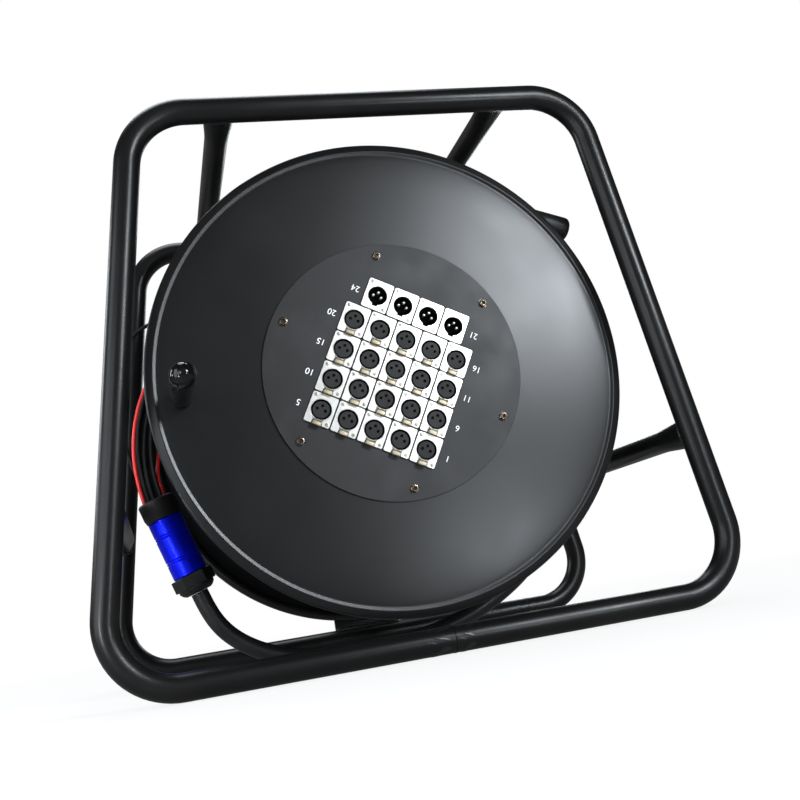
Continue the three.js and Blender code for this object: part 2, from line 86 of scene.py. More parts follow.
CAMERA_PLACE = (-0.2427, -0.8861, 0.0654)
CAMERA_RIGHT = Vector((0.96189, -0.22237, -0.15915))
CAMERA_UP = Vector((0.11208, -0.21029, 0.97119))
CAMERA_FORWARD = Vector((0.24943, 0.95201, 0.17735))
LENS, SENSOR = 45.695, 36


def make_camera():
    data = bpy.data.cameras.new("camera")
    data.lens = LENS
    data.sensor_width = SENSOR
    turn = Matrix((CAMERA_RIGHT, CAMERA_UP, -CAMERA_FORWARD)).transposed().to_4x4()
    scene.camera = linked("camera", data, Matrix.Translation(CAMERA_PLACE) @ turn)


make_camera()


# Shapes

class Shape:
    """Corners and faces of one piece, with the number of the material that each face takes."""

    def __init__(self):
        self.corners, self.faces, self.looks = [], [], []

    def add(self, part, place=Matrix(), look=0):
        corners, faces = part
        start = len(self.corners)
        self.corners += [place @ Vector(corner) for corner in corners]
        self.faces += [[start + i for i in face] for face in faces]
        self.looks += [look] * len(faces)
        return self


def joined(rings, closed=False, capped=True):
    """Corners and faces of a skin over rings of equally many points; a ring of one point is a pole."""
    corners, starts = [], []
    for ring in rings:
        starts.append(len(corners))
        corners += ring
    faces = []
    pairs = list(zip(range(len(rings)), range(1, len(rings))))
    if closed:
        pairs.append((len(rings) - 1, 0))
    for a, b in pairs:
        count = max(len(rings[a]), len(rings[b]))
        for i in range(count):
            j = (i + 1) % count
            low = [starts[a] + k % len(rings[a]) for k in (i, j)]
            high = [starts[b] + k % len(rings[b]) for k in (j, i)]
            face = list(dict.fromkeys(low + high))
            if len(face) > 2:
                faces.append(face)
    if capped and not closed:
        for ring, start in ((rings[0], starts[0]), (rings[-1], starts[-1])):
            if len(ring) > 2:
                faces.append(range(start, start + len(ring)))
    return corners, faces


def turned(outline, sides):
    """An outline of (radius, height) points turned about Z. Where it leaves the axis free, it is closed."""
    rings = []
    for radius, height in outline:
        count = sides if radius > 0 else 1
        angles = [FULL_TURN * i / sides for i in range(count)]
        rings.append([(radius * math.cos(a), radius * math.sin(a), height) for a in angles])
    return joined(rings, closed=outline[0][0] > 0, capped=False)


def swept(centres, radius, sides, closed=False, outward=None):
    """A tube along centres. radius is one number or one for each centre; outward fixes how its rings turn."""
    centres = [Vector(c) for c in centres]
    count = len(centres)
    radii = radius if isinstance(radius, list) else [radius] * count
    angles = [FULL_TURN * k / sides for k in range(sides)]
    rings, side = [], None
    for i, centre in enumerate(centres):
        ahead = centres[(i + 1) % count] if closed else centres[min(i + 1, count - 1)]
        behind = centres[i - 1] if closed or i else centre
        along = (ahead - behind).normalized()
        if outward:
            side = outward[i]
        elif side is None:
            side = along.orthogonal()
        side = (side - along * side.dot(along)).normalized()
        other = along.cross(side)
        rings.append([centre + (side * math.cos(a) + other * math.sin(a)) * radii[i] for a in angles])
    return joined(rings, closed)


def arc(centre, radius, start, end, steps):
    """Points on an arc in a plane, with its angles in degrees."""
    angles = [math.radians(start + (end - start) * i / steps) for i in range(steps + 1)]
    return [(centre[0] + radius * math.cos(a), centre[1] + radius * math.sin(a)) for a in angles]


def circle(radius, sides, centre=(0, 0)):
    return arc(centre, radius, 0, 360, sides)[:-1]


def rounded_box(width, height, radius, steps=5):
    x, y = width / 2 - radius, height / 2 - radius
    points = []
    for quarter, corner in enumerate(((x, y), (-x, y), (-x, -y), (x, -y))):
        points += arc(corner, radius, 90 * quarter, 90 * quarter + 90, steps)
    return points


def eased(radius, low, high, edge):
    """The outer points of a disc's outline, with both its edges bevelled."""
    return [(radius - edge, low), (radius, low + edge), (radius, high - edge), (radius - edge, high)]


def mesh_of(data):
    """Corners and faces of a curve or text, welded."""
    weld = 0.002
    holder = linked("holder", data)
    bpy.context.view_layer.update()
    mesh = bpy.data.meshes.new_from_object(holder.evaluated_get(bpy.context.evaluated_depsgraph_get()))
    work = bmesh.new()
    work.from_mesh(mesh)
    bmesh.ops.remove_doubles(work, verts=work.verts, dist=weld)
    corners = [v.co.copy() for v in work.verts]
    faces = [[v.index for v in f.verts] for f in work.faces]
    work.free()
    bpy.data.objects.remove(holder)
    bpy.data.meshes.remove(mesh)
    bpy.data.curves.remove(data)
    return corners, faces


def cut_plate(outlines, thickness, edge):
    """A plate with holes, cut to closed outlines, with its back at height 0 and its edges eased."""
    small_edge = 0.5
    data = bpy.data.curves.new("outline", "CURVE")
    data.dimensions = "2D"
    data.fill_mode = "BOTH"
    data.extrude = thickness / 2 - edge
    data.bevel_depth = edge
    data.bevel_resolution = 1 if edge < small_edge else 4
    data.offset = -edge
    for outline in outlines:
        spline = data.splines.new("POLY")
        spline.points.add(len(outline) - 1)
        for point, (x, y) in zip(spline.points, outline):
            point.co = (x, y, 0, 1)
        spline.use_cyclic_u = True
    corners, faces = mesh_of(data)
    return [c + Vector((0, 0, thickness / 2)) for c in corners], faces


def number(text, height):
    """A printed number, with its middle at the origin and its face toward +Z."""
    cap_share, print_thickness = 0.7, 0.04
    data = bpy.data.curves.new("number", "FONT")
    data.body = text
    data.size = height / cap_share
    data.align_x = "CENTER"
    data.align_y = "CENTER"
    data.extrude = print_thickness
    return mesh_of(data)


def smooth_route(points, step):
    """Points about one step apart on a centripetal Catmull-Rom curve through the given ones."""
    points = [Vector(p) for p in points]
    points = [points[0] * 2 - points[1], *points, points[-1] * 2 - points[-2]]
    route = []
    for a, b, c, d in zip(points, points[1:], points[2:], points[3:]):
        t1 = math.sqrt((b - a).length)
        t2 = t1 + math.sqrt((c - b).length)
        t3 = t2 + math.sqrt((d - c).length)
        count = max(1, round((c - b).length / step))
        for i in range(count):
            t = t1 + (t2 - t1) * i / count
            ab = a.lerp(b, t / t1)
            bc = b.lerp(c, (t - t1) / (t2 - t1))
            cd = c.lerp(d, (t - t2) / (t3 - t2))
            near = ab.lerp(bc, t / t2)
            far = bc.lerp(cd, (t - t1) / (t3 - t1))
            route.append(near.lerp(far, (t - t1) / (t2 - t1)))
    return [*route, points[-2]]


def relaxed(route, rounds):
    """The route with its small kinks evened out and its ends kept."""
    for _ in range(rounds):
        middle = [(a + b * 2 + c) / 4 for a, b, c in zip(route, route[1:], route[2:])]
        route = [route[0], *middle, route[-1]]
    return route


def ripple(angle, count, depth):
    """One number between -depth and depth that rises and falls unevenly with an angle."""
    return depth * (0.7 * math.sin(count * angle) + 0.3 * math.sin(1.7 * count * angle + 1.3))


def mesh_from(name, shape, materials):
    mesh = bpy.data.meshes.new(name)
    mesh.from_pydata([corner * MM for corner in shape.corners], [], shape.faces)
    for look in materials:
        mesh.materials.append(look)
    mesh.polygons.foreach_set("material_index", shape.looks)
    return mesh


def piece(name, shape, body, materials, replaced=(), crease=35):
    """Makes an object of a shape, which rides on a body and stands for the CAD nodes it replaces."""
    mesh = mesh_from(name, shape, materials)
    work = bmesh.new()
    work.from_mesh(mesh)
    bmesh.ops.recalc_face_normals(work, faces=work.faces)
    work.to_mesh(mesh)
    work.free()
    mesh.shade_smooth()
    mesh.set_sharp_from_angle(angle=math.radians(crease))
    made = linked(name, mesh)
    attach(made, body)
    if replaced:
        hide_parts(*replaced)
    return made


# Materials

EVEN = (1, 1, 1)
DRAWN = (1, 9, 1)
NOISE_LOW, NOISE_HIGH = 0.3, 0.7
FINE_GRAIN, RUBBER_GRAIN = (1500, 2, 0.00001), (700, 3, 0.00003)
RUBBER, WORN_RUBBER = (0.006, 0.006, 0.0062), (0.014, 0.013, 0.012)


class Graph:
    """Nodes of one tree, each made with its inputs set or linked."""

    def __init__(self, tree):
        self.tree = tree

    def node(self, kind, sockets=(), **settings):
        made = self.tree.nodes.new(kind)
        for key, value in settings.items():
            setattr(made, key, value)
        for key, value in dict(sockets).items():
            if isinstance(value, bpy.types.NodeSocket):
                self.tree.links.new(value, made.inputs[key])
            else:
                made.inputs[key].default_value = value
        return made

    def spread(self, value, low, high, to_low, to_high):
        sockets = {"Value": value, "From Min": low, "From Max": high, "To Min": to_low, "To Max": to_high}
        return self.node("ShaderNodeMapRange", sockets).outputs["Result"]

    def combined(self, operation, first, second):
        return self.node("ShaderNodeMath", {0: first, 1: second}, operation=operation).outputs[0]


class Look(Graph):
    """A material around a Principled shader. Its textures lie in the object's own coordinates."""

    def __init__(self, name, **inputs):
        self.material = bpy.data.materials.new(name)
        self.material.use_nodes = True
        super().__init__(self.material.node_tree)
        self.shader = self.tree.nodes["Principled BSDF"]
        for key, value in inputs.items():
            self.shader.inputs[key.replace("_", " ")].default_value = value

    def noise(self, scale, detail, stretch=EVEN):
        """Noise that is the finer the larger its scale, and longer where the stretch is less."""
        place = self.node("ShaderNodeTexCoord").outputs["Object"]
        place = self.node("ShaderNodeMapping", {"Vector": place, "Scale": stretch}).outputs["Vector"]
        sockets = {"Vector": place, "Scale": scale, "Detail": detail}
        return self.node("ShaderNodeTexNoise", sockets).outputs["Fac"]

    def mix(self, share, first, second):
        made = self.node("ShaderNodeMix", {"Factor": share}, data_type="RGBA")
        for key, colour in (("A", first), ("B", second)):
            socket = [s for s in made.inputs if s.name == key and s.type == "RGBA"][0]
            socket.default_value = (*colour, 1)
        return [s for s in made.outputs if s.type == "RGBA"][0]

    def link(self, socket, key):
        self.tree.links.new(socket, self.shader.inputs[key])

    def dressed(self, patches, colour, worn, clouds, roughness, grain, stretch=EVEN):
        """Patches of a second colour, clouds of uneven gloss, and a grain of some depth in metres."""
        scale, detail, low, high = patches
        share = self.spread(self.noise(scale, detail), low, high, 0, 1)
        self.link(self.mix(share, colour, worn), "Base Color")
        gloss = self.spread(self.noise(*clouds, stretch), NOISE_LOW, NOISE_HIGH, *roughness)
        self.link(gloss, "Roughness")
        scale, detail, depth = grain
        sockets = {"Height": self.noise(scale, detail, stretch), "Distance": depth}
        self.link(self.node("ShaderNodeBump", sockets).outputs["Normal"], "Normal")
        return self.material


def painted(name, colour, dust, roughness, grain, level, cloud=14):
    """Black paint on steel, with a little dust, uneven gloss and orange peel."""
    look = Look(name, Specular_IOR_Level=level)
    return look.dressed((cloud * 0.7, 6, 0.5, 0.78), colour, dust, (cloud, 5), roughness, grain)


def plastic(name, colour, worn, roughness, grain, level=0.5):
    look = Look(name, Specular_IOR_Level=level)
    return look.dressed((35, 5, 0.5, 0.75), colour, worn, (50, 3), roughness, grain)


def metal(name, colour, dull, roughness, grain, stretch=EVEN, metallic=1.0):
    look = Look(name, Metallic=metallic)
    return look.dressed((45, 5, 0.45, 0.8), colour, dull, (160, 4), roughness, grain, stretch)


TUBE_PAINT = painted(
    "tube_paint", (0.004, 0.004, 0.0041), (0.009, 0.0083, 0.0078), (0.28, 0.36), (700, 2, 0.000004), 0.3,
)
FLANGE_PAINT = painted(
    "flange_paint", (0.004, 0.004, 0.0043), (0.007, 0.0072, 0.0078), (0.29, 0.33), (420, 1, 0.000003), 0.4,
)
PANEL_PAINT = painted(
    "panel_paint", (0.01, 0.01, 0.0105), (0.021, 0.021, 0.022), (0.42, 0.5), (900, 2, 0.000008), 0.38, 30,
)
WELD = painted("weld", (0.006, 0.006, 0.006), (0.02, 0.019, 0.018), (0.22, 0.36), (400, 3, 0.0001), 0.5)
STEEL = metal("plain_steel", (0.56, 0.56, 0.55), (0.36, 0.35, 0.33), (0.24, 0.4), (700, 3, 0.00002), DRAWN)
SCREW_METAL = metal("screw_metal", (0.22, 0.17, 0.13), (0.14, 0.11, 0.08), (0.22, 0.32), (900, 2, 0.00001))
BRONZE = metal("bronze", (0.42, 0.26, 0.1), (0.2, 0.12, 0.05), (0.3, 0.5), RUBBER_GRAIN, DRAWN)
NICKEL = metal("nickel", (0.74, 0.73, 0.7), (0.66, 0.64, 0.59), (0.3, 0.38), (1500, 2, 0.000004))
RIVET_METAL = metal("rivet_metal", (0.42, 0.39, 0.33), (0.34, 0.31, 0.26), (0.3, 0.4), (1500, 2, 0.000004))
LATCH_METAL = metal(
    "latch_metal", (0.36, 0.31, 0.22), (0.3, 0.25, 0.17), (0.4, 0.5), (1200, 2, 0.00001), EVEN, 0.7,
)
GOLD = metal("contact_gold", (0.3, 0.22, 0.08), (0.2, 0.14, 0.06), (0.25, 0.4), FINE_GRAIN)
BLUE = metal(
    "blue_sleeve", (0.001, 0.01, 0.95), (0.001, 0.008, 0.85), (0.3, 0.34), (260, 1, 0.0000005), EVEN, 0.8,
)
# Near black with little gloss: painted shade on the inner walls of the sockets' bores, and the dark line of
# the loops' seam rings.
SHADE_AND_SEAM_BLACK = plastic("painted_shade_and_seam_black", (0.002, 0.002, 0.002), (0.003, 0.003, 0.003), (0.7, 0.8), FINE_GRAIN, 0.1)
PIN_METAL = metal("pin_metal", (0.95, 0.94, 0.92), (0.9, 0.88, 0.85), (0.45, 0.55), FINE_GRAIN)
JACKET = plastic("jacket", (0.008, 0.008, 0.0085), (0.02, 0.019, 0.018), (0.38, 0.5), RUBBER_GRAIN, 0.4)
# Dark plastic of the socket inserts; the same colour is painted shade on the pin shafts and on the floors of
# the screws' key wells.
INSERT_AND_SHADE = plastic(
    "insert_plastic_and_painted_shade", (0.014, 0.014, 0.0145), (0.022, 0.022, 0.022), (0.55, 0.65), FINE_GRAIN, 0.3,
)
KNOB = plastic(
    "knob_plastic", (0.003, 0.003, 0.003), (0.005, 0.005, 0.005), (0.06, 0.09), (90, 2, 0.000004), 0.4,
)
FITTING = plastic("fitting_plastic", RUBBER, WORN_RUBBER, (0.4, 0.5), (900, 3, 0.00003), 0.3)
TAIL_JACKET = plastic("tail_jacket", RUBBER, WORN_RUBBER, (0.6, 0.7), RUBBER_GRAIN, 0.2)
RED = plastic("red_jacket", (0.75, 0.018, 0.018), (0.6, 0.014, 0.014), (0.34, 0.44), (700, 2, 0.00002))
PRINT = plastic("white_print", (0.85, 0.86, 0.88), (0.7, 0.71, 0.74), (0.5, 0.6), FINE_GRAIN)


# Free cables: routes beside the drum as (x, z) from its axis, in the plane of the fan-out

MULTICORE_ROUTE = [
    (178, -72), (182, -98), (180, -126), (171, -155), (155, -182), (132, -206), (105, -223.8), (77, -238),
    (50, -248), (20, -255), (-15, -259), (-50, -259.2), (-85, -258.8), (-115, -255.5), (-143, -248),
    (-165, -236.5), (-187, -218), (-197.5, -199.5),
]
TAIL_ROUTE = [(-239.5, -62), (-241, -38), (-238, -10), (-229, 20), (-213, 49), (-193, 73), (-170, 90)]
LOOSE_TAIL = [(-246, -62), (-254, -35), (-258, -1), (-255, 45), (-242, 84), (-219, 101), (-180, 108)]


def on_fanout(height, across=0, depth=0):
    return FANOUT @ Vector((across, depth, height))


def in_plane(route, across=0, depth=0):
    return [Vector((x + across, CABLE_PLANE + depth, AXIS_HEIGHT + z)) for x, z in route]


def from_axis(point):
    return math.hypot(point.x, point.z - AXIS_HEIGHT)


def outside_winding(corner):
    """The corner, or the nearest place outside the wound cable if it lies in it."""
    radius, least = from_axis(corner), WINDING_ENVELOPE + GAP
    if radius >= least:
        return corner
    x, z = corner.x * least / radius, (corner.z - AXIS_HEIGHT) * least / radius
    return Vector((x, corner.y, AXIS_HEIGHT + z))


def free_cable(name, route, radius, sides, materials, replaced=()):
    """A tube along a route that lies against the wound cable where it meets it."""
    corners, faces = swept(route, radius, sides)
    shape = Shape().add(([outside_winding(c) for c in corners], faces))
    return piece(name, shape, "stand", materials, replaced)


# Fan-out joint, with heights along its axis and one part on the next

HEX_FOOT, GLAND_TOP = 7, 19
SLEEVE_FOOT, SLEEVE_TOP = 19.3, 79.3
CAP_FOOT, CAP_FLOOR, CAP_TOP = 79.6, 92.2, 100.2
GLAND_BORE, HEX_HALF_WIDTH, HEX_EDGE = 8.9, 18, 0.9
SLEEVE_RADIUS = 17
CAP_RADIUS, MOUTH_RADIUS, LIP_ROUNDING = 18.7, 14, 2.5


def gland_nut():
    """A hexagonal nut with a domed end and a ring of fine ribs between them."""
    dome_top, dome_radius = 12, 7.4
    ribs, rib_size, rib_ease, rib_length, rib_circle, rib_foot = 24, 1.1, 0.3, 4.6, 17.3, 4.4
    dome = [
        (GLAND_BORE, 0.4), (9.6, 0), (12.4, 0), (13.4, 0.5),
        *arc((HEX_HALF_WIDTH - dome_radius, dome_radius), dome_radius, -68, 0, 8),
        (HEX_HALF_WIDTH, dome_top), (GLAND_BORE, dome_top),
    ]
    shape = Shape().add(turned(dome, 72), FANOUT)
    for i in range(ribs):
        turn = Matrix.Rotation(FULL_TURN * i / ribs, 4, "Z")
        place = FANOUT @ turn @ Matrix.Translation((rib_circle, 0, rib_foot))
        shape.add(cut_plate([rounded_box(rib_size, rib_size, rib_ease, 2)], rib_length, rib_ease), place)
    hexagon = circle(HEX_HALF_WIDTH / math.cos(math.pi / 6), 6)
    nut = cut_plate([hexagon, circle(GLAND_BORE, 36)], GLAND_TOP - HEX_FOOT, HEX_EDGE)
    return shape.add(nut, FANOUT @ Matrix.Translation((0, 0, HEX_FOOT)))


def sleeve():
    """An anodised tube with eased ends and two pairs of turned grooves."""
    edge, spread = 0.8, 1.3
    groove = [
        (-1.2, 0), (-0.8, 0), (-0.65, 0.1), (-0.35, 0.65), (0, 0.8),
        (0.35, 0.65), (0.65, 0.1), (0.8, 0), (1.2, 0),
    ]
    ends = eased(SLEEVE_RADIUS, SLEEVE_FOOT, SLEEVE_TOP, edge)
    outline = [(0, SLEEVE_FOOT), *ends[:2]]
    for middle in (36.34, 62.62):
        for centre in (middle - spread, middle + spread):
            outline += [(SLEEVE_RADIUS - depth, centre + across) for across, depth in groove]
    outline += [*ends[2:], (0, SLEEVE_TOP)]
    return Shape().add(turned(outline, 96), FANOUT)


def cap():
    """A clamping cap with an open rounded mouth."""
    wall_top = CAP_TOP - 4
    lip = arc((CAP_RADIUS - LIP_ROUNDING, CAP_TOP - LIP_ROUNDING), LIP_ROUNDING, 0, 170, 10)
    outline = [
        (0, CAP_FOOT), (17, CAP_FOOT), (17.6, CAP_FOOT + 0.5), (18.2, CAP_FOOT + 3.5),
        (CAP_RADIUS, CAP_FOOT + 4.5), (CAP_RADIUS, wall_top), *lip, (MOUTH_RADIUS, wall_top),
        (MOUTH_RADIUS, CAP_FLOOR), (0, CAP_FLOOR),
    ]
    return Shape().add(turned(outline, 96), FANOUT)


def multicore_centres():
    """The free stretch from the wound cable, in which it begins, to the gland."""
    step, rounds, lead, sunk_share = 4, 24, 8.8, 0.3
    route = smooth_route([*in_plane(MULTICORE_ROUTE), on_fanout(-lead), on_fanout(-GAP)], step)
    route = relaxed(route, rounds)
    return [p for p in route if from_axis(p) > WINDING_ENVELOPE - sunk_share * CABLE_DIAMETER]


multicore_route = multicore_centres()
multicore = free_cable(
    "multicore", multicore_route, CABLE_DIAMETER / 2, 24, [JACKET], ["multicore_cable"],
)
gland = piece("gland", gland_nut(), "stand", [FITTING], ["gland_nut"], 20)
blue_sleeve = piece("blue_sleeve", sleeve(), "stand", [BLUE], ["fanout_sleeve"])
clamp_cap = piece("clamp_cap", cap(), "stand", [FITTING], ["fanout_cap"])


# Tails, as their place across the mouth and how far they stray on the way

RED_TAILS = [(-11.2, -3.4, -0.8), (-10.6, 2.4, 0.6), (8.6, -5.6, 9.0)]
BLACK_TAILS = [
    (-6.2, -6.8, -1.0), (-5.6, 6.4, 0.2), (-2.1, 1.1, 0.0), (-1.4, -8.2, 1.8), (2.2, 7.8, 0.8),
    (3.0, -3.6, 2.2), (7.6, 2.6, 3.0), (-7.4, -1.0, -0.3), (5.6, -9.2, 2.0),
]
LOOSE_PLACE = (-2.6, 11.2, 0)


def tail_route(across, depth, stray, route):
    """From the cap's floor along a route, drawn together toward its end, up to the wound cable."""
    step, floor_share, drawn_share, depth_share, free_share = 3, 0.85, 0.55, 1.6, 0.2
    floor = on_fanout(CAP_FLOOR + GAP, across * floor_share, depth * floor_share)
    middle = in_plane(route, across, depth)
    last = len(middle) - 1
    for i, point in enumerate(middle):
        share = i / last
        sway = math.sin(math.pi * share)
        point.x += stray * sway - across * drawn_share * share
        point.y += stray * depth_share * sway
        point.z -= stray * sway
    points = smooth_route([floor, on_fanout(CAP_TOP, across, depth), *middle], step)
    return [p for p in points if from_axis(p) > WINDING_ENVELOPE + GAP + TAIL_DIAMETER * free_share]


def tail(index, place, route, look, replaced=()):
    centres = tail_route(*place, route)
    made = free_cable(f"tail_{index:02d}", centres, TAIL_DIAMETER / 2, 12, [look], replaced)


tail(1, RED_TAILS[0], TAIL_ROUTE, RED, ["tail_bundle"])
for index, place in enumerate([*RED_TAILS[1:], *BLACK_TAILS], 2):
    tail(index, place, TAIL_ROUTE, RED if place in RED_TAILS else TAIL_JACKET)
tail(len(RED_TAILS) + len(BLACK_TAILS) + 1, LOOSE_PLACE, LOOSE_TAIL, TAIL_JACKET)


# Stand

TOP_HEIGHT = STAND_HEIGHT - TUBE_RADIUS
TOP_CROSS_X, SIDE_CROSS_X, SIDE_CROSS_HEIGHT = 138, 274.5, 166
CROSS_TUBES = [
    (-TOP_CROSS_X, TOP_HEIGHT), (TOP_CROSS_X, TOP_HEIGHT),
    (-SIDE_CROSS_X, SIDE_CROSS_HEIGHT), (SIDE_CROSS_X, SIDE_CROSS_HEIGHT),
]
FLAT_WIDE, FLAT_THIN = 14.2, 8.8
FLAT_START, FLAT_END = 14, 62
AXLE_PLATE_WIDTH, AXLE_PLATE_THICKNESS = 80, 4
THREAD_RADIUS = 10
SEAM_X, REAR_SEAM_X = 2, 206


def loop(depth):
    """One closed loop of tube, with a bend at each corner."""
    steps = 20
    corners = [Vector(c) for c in (
        (BOTTOM_HALF_WIDTH, TUBE_RADIUS), (TOP_HALF_WIDTH, TOP_HEIGHT),
        (-TOP_HALF_WIDTH, TOP_HEIGHT), (-BOTTOM_HALF_WIDTH, TUBE_RADIUS),
    )]
    route = []
    for i, corner in enumerate(corners):
        incoming = (corner - corners[i - 1]).normalized()
        outgoing = (corners[(i + 1) % 4] - corner).normalized()
        turn = incoming.angle(outgoing)
        start = corner - incoming * BEND_RADIUS * math.tan(turn / 2)
        outward = Vector((incoming.y, -incoming.x))
        centre = start - outward * BEND_RADIUS
        for step in range(steps + 1):
            normal = Matrix.Rotation(turn * step / steps, 2) @ outward
            point = centre + normal * BEND_RADIUS
            route.append(Vector((point.x, depth, point.y)))
    return swept(route, TUBE_RADIUS, 48, closed=True, outward=[Vector((0, 1, 0))] * len(route))


def side_slope(x, z):
    """The way that a loop's tube runs where a cross tube meets it."""
    if z == TOP_HEIGHT:
        return Vector((1, 0, 0))
    lean = Vector((TOP_HALF_WIDTH - BOTTOM_HALF_WIDTH, 0, STAND_HEIGHT - 2 * TUBE_RADIUS)).normalized()
    return Vector((math.copysign(lean.x, -x), 0, lean.z))


def cross_tube(x, z, along):
    """A tube between the loops, pressed flat at its ends, where it is widest along the loop's tube."""
    sunk, steps = 4, 10
    across = Vector((along.z, 0, -along.x))
    depths = [sunk, *(FLAT_START + (FLAT_END - FLAT_START) * i / steps for i in range(steps + 1))]
    depths += [LOOP_SPACING - depth for depth in reversed(depths)]
    rings = []
    for depth in depths:
        share = (FLAT_END - min(depth, LOOP_SPACING - depth)) / (FLAT_END - FLAT_START)
        share = max(0, min(1, share))
        share *= share * (3 - 2 * share)
        wide = CROSS_RADIUS + (FLAT_WIDE - CROSS_RADIUS) * share
        thin = CROSS_RADIUS + (FLAT_THIN - CROSS_RADIUS) * share
        centre = Vector((x, depth, z))
        rings.append([centre + along * wide * a + across * thin * b for a, b in circle(1, 48)])
    return joined(rings)


def saddle_weld(x, z, along, depth, sign):
    """A bead where the flat end of a cross tube meets a loop tube that runs along a direction."""
    steps, bead, lift, waves, wave_height = 120, 1.7, 0.2, 22, 0.25
    across = Vector((along.z, 0, -along.x))
    centre = Vector((x, depth, z))
    points, radii, outward = [], [], []
    for i in range(steps):
        angle = FULL_TURN * i / steps
        side = FLAT_THIN * math.sin(angle)
        rise = math.sqrt(TUBE_RADIUS ** 2 - side ** 2)
        radial = along * FLAT_WIDE * math.cos(angle) + across * side
        points.append(centre + radial + Vector((0, sign * (rise + lift), 0)))
        radii.append(bead + ripple(angle, waves, wave_height))
        outward.append(radial.normalized())
    return swept(points, radii, 10, closed=True, outward=outward)


def straight_weld(start, end):
    """A rippled bead along a line."""
    bead, pitch, wave_steps, low_share = 3.1, 9.8, 12, 0.72
    start, end = Vector(start), Vector(end)
    steps = round((end - start).length / pitch) * wave_steps
    points = [start.lerp(end, i / steps) for i in range(steps + 1)]
    waves = [abs(math.sin(math.pi * i / wave_steps)) for i in range(steps + 1)]
    return swept(points, [bead * (low_share + (1 - low_share) * wave) for wave in waves], 12)


def ring_weld():
    """A ground ring where the two ends of a loop's tube meet."""
    steps, sunk, bead, waves, wave_share = 96, 0.05, 0.4, 17, 0.25
    angles = [FULL_TURN * i / steps for i in range(steps)]
    outward = [Vector((0, math.cos(a), math.sin(a))) for a in angles]
    points = [Vector((SEAM_X, 0, TUBE_RADIUS)) + out * (TUBE_RADIUS - sunk) for out in outward]
    radii = [bead + ripple(a, waves, bead * wave_share) for a in angles]
    return swept(points, radii, 8, closed=True, outward=outward)


def filler(start, end):
    """Uneven filler rubbed down beside the ring, as a skin round the tube."""
    rings, sides, sunk, lump_height = 25, 96, 0.12, 0.22
    skin = []
    for i in range(rings):
        share = i / (rings - 1)
        x = start + (end - start) * share
        ring = []
        for k in range(sides):
            angle = FULL_TURN * k / sides
            lump = ripple(angle, 7, lump_height) + lump_height * math.sin(9 * share + 5 * math.sin(3 * angle))
            radius = TUBE_RADIUS - sunk + lump * math.sin(math.pi * share)
            ring.append(Vector((x, radius * math.cos(angle), TUBE_RADIUS + radius * math.sin(angle))))
        skin.append(ring)
    return joined(skin)


def axle_plate():
    """A strip down the rear loop with a hole for the axle's thread, and its place."""
    corner, edge = 1, 0.5
    strip = rounded_box(AXLE_PLATE_WIDTH, TOP_HEIGHT - TUBE_RADIUS, corner)
    hole = circle(THREAD_RADIUS + GAP, 48, (0, AXIS_HEIGHT - STAND_HEIGHT / 2))
    place = Matrix.Translation((0, LOOP_SPACING + AXLE_PLATE_THICKNESS / 2, STAND_HEIGHT / 2)) @ FACING_FRONT
    return cut_plate([strip, hole], AXLE_PLATE_THICKNESS, edge), place


def stand():
    piece("front_loop_tube", Shape().add(loop(0)), "stand", [TUBE_PAINT], ["front_loop"])
    frame_shape = Shape().add(loop(LOOP_SPACING))
    for x, z in CROSS_TUBES:
        frame_shape.add(cross_tube(x, z, side_slope(x, z)))
    piece("rear_loop_tube", frame_shape, "stand", [TUBE_PAINT], ["rear_frame"])
    piece("axle_plate", Shape().add(*axle_plate()), "stand", [TUBE_PAINT], (), 20)


def welds():
    weld_crease, reach, lift = 60, AXLE_PLATE_WIDTH / 2 - 1, 2.6
    beads = Shape()
    for x, z in CROSS_TUBES:
        along = side_slope(x, z)
        beads.add(saddle_weld(x, z, along, 0, 1))
        beads.add(saddle_weld(x, z, along, LOOP_SPACING, -1))
    for y in (LOOP_SPACING - lift, LOOP_SPACING + lift):
        for z in (2 * TUBE_RADIUS, STAND_HEIGHT - 2 * TUBE_RADIUS):
            beads.add(straight_weld((-reach, y, z), (reach, y, z)))
    piece("welds", beads, "stand", [WELD], (), weld_crease)
    seam = Shape().add(ring_weld(), look=1).add(filler(-27, 1)).add(filler(3, 22))
    rear = Matrix.Translation((REAR_SEAM_X, LOOP_SPACING, 0))
    seam.add(ring_weld(), rear).add(filler(-18, 1), rear).add(filler(3, 20), rear)
    piece("loop_seam", seam, "stand", [WELD, SHADE_AND_SEAM_BLACK], (), weld_crease)


stand()
welds()


# Axle and hub, with depths behind the front loop

HEAD_FRONT, HEAD_BACK, SHOULDER_FRONT, SHOULDER_BACK, AXLE_END = 207.7, 215.7, 350.3, 371.7, 386
HEAD_RADIUS, SHAFT_RADIUS, SHOULDER_RADIUS, CHAMFER = 18, 12.5, 20, 0.6
WASHER_FRONT, NUT_FRONT, NUT_THICKNESS, NUT_EDGE = 376.3, 377.9, 7.6, 0.9
NUT_RADIUS, NUT_BORE, WASHER_RADIUS, WASHER_BORE = 17.32, 10.05, 19.5, 10.4
BUSH_FRONT, BUSH_BACK, BUSH_BORE, BUSH_RADIUS, BUSH_EDGE = 216, 350, 13.2, 21.1, 0.5
HUB_FLANGE_RADIUS, HUB_FLANGE_THICKNESS = 45, 6


